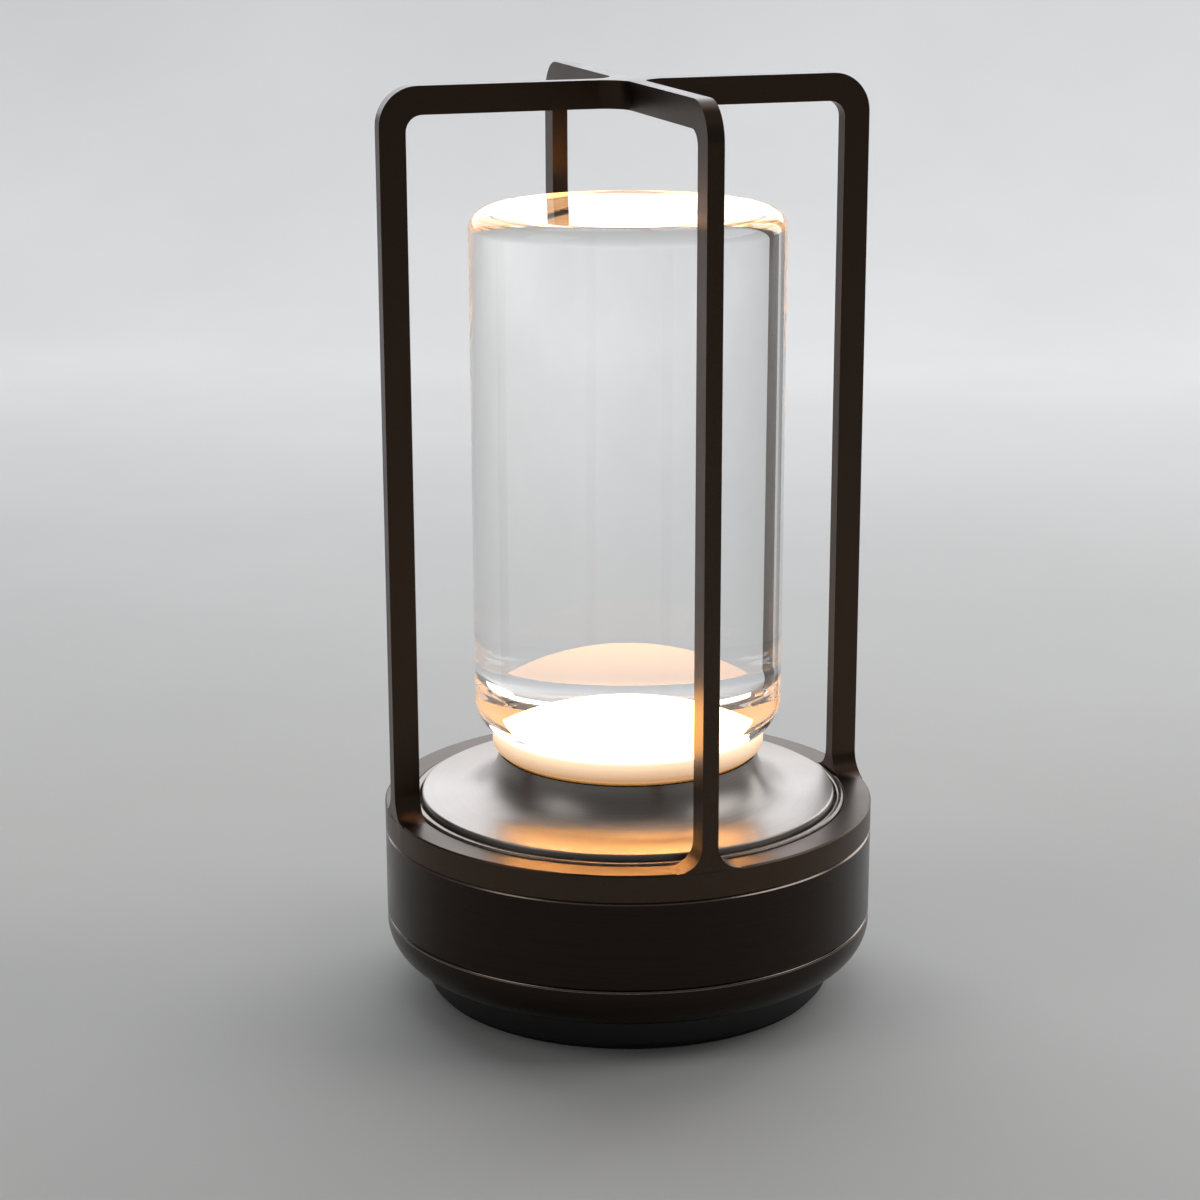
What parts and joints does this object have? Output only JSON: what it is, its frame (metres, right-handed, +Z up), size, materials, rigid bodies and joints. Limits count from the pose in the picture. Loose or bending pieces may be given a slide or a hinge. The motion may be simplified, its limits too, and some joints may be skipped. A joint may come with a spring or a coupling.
{
  "type": "cordless table lamp",
  "caption": "Cordless table lamp: solid clear glass cylinder over a glowing opal dome, in a slim dark metal carrying cage on a round battery base with a press-plate switch.",
  "frame": {"origin": "on the table, under the middle of the foot", "axes": "+Z up; the cage arms stand on the X and Y axes; the charging socket faces +Y"},
  "size_m": [0.092, 0.092, 0.17],
  "materials": {
    "cage_metal": "satin dark bronze, anodised",
    "band_metal": "dark bronze, brushed round the base",
    "bezel_metal": "bright-cut bronze",
    "plate_metal": "satin, fine turning lines",
    "foot_plastic": "moulded, fine matt grain",
    "pad_rubber": "matt rubber",
    "seal_rubber": "soft silicone",
    "cast_aluminium": "die-cast, plain",
    "turned_aluminium": "turned, plain",
    "brass": "machined brass",
    "light_board": "white solder mask on metal",
    "light_chip": "phosphor in clear resin",
    "opal_acrylic": "opal acrylic, lit from below",
    "clear_glass": "polished clear glass, solid",
    "steel": "plated steel",
    "pale_plastic": "natural acetal",
    "dark_plastic": "moulded black plastic",
    "circuit_board": "green solder mask on glass fibre",
    "cell_wrap": null,
    "wire": "silicone insulation"
  },
  "bodies": {
    "lamp": {"cage": "cage_metal", "cage_gasket": "seal_rubber", "bezel_ring": "bezel_metal", "body_band": "band_metal", "base_gasket": "seal_rubber", "base_cap": "band_metal", "foot_plate": "foot_plastic", "foot_pad": "pad_rubber", "chassis": "cast_aluminium", "center_post": "turned_aluminium", "post_nut": "brass", "lamp_cup": "turned_aluminium", "led_board": "light_board", "led_chips": "light_chip", "led_screws": "steel", "led_leads": "wire", "led_plug": "pale_plastic", "diffuser": "opal_acrylic", "glass_cylinder": "clear_glass", "return_spring": "steel", "switch_body": "dark_plastic", "main_board": "circuit_board", "board_parts": "dark_plastic", "board_screws": "steel", "usb_socket": "steel", "battery_cells": "cell_wrap", "battery_tabs": "steel", "battery_leads": "wire", "battery_cradle": "dark_plastic", "cage_screws": "steel", "base_screws": "steel"},
    "press_plate": {"press_plate": "plate_metal", "guide_bush": "pale_plastic"},
    "switch_plunger": {"switch_plunger": "pale_plastic"}
  },
  "joints": [
    {"name": "plate_press", "type": "slide", "parent": "lamp", "child": "press_plate", "axis": [0, 0, -1], "range_m": [0, 0.0005], "stiffness_N_per_m": 1500, "springref_m": -0.002, "deforming": ["return_spring"]},
    {"name": "plunger_press", "type": "slide", "parent": "lamp", "child": "switch_plunger", "axis": [0, 0, -1], "range_m": [0, 0.0005]}
  ],
  "couplings": [
    {"joint": "plunger_press", "follows": "plate_press", "ratio": 1}
  ]
}
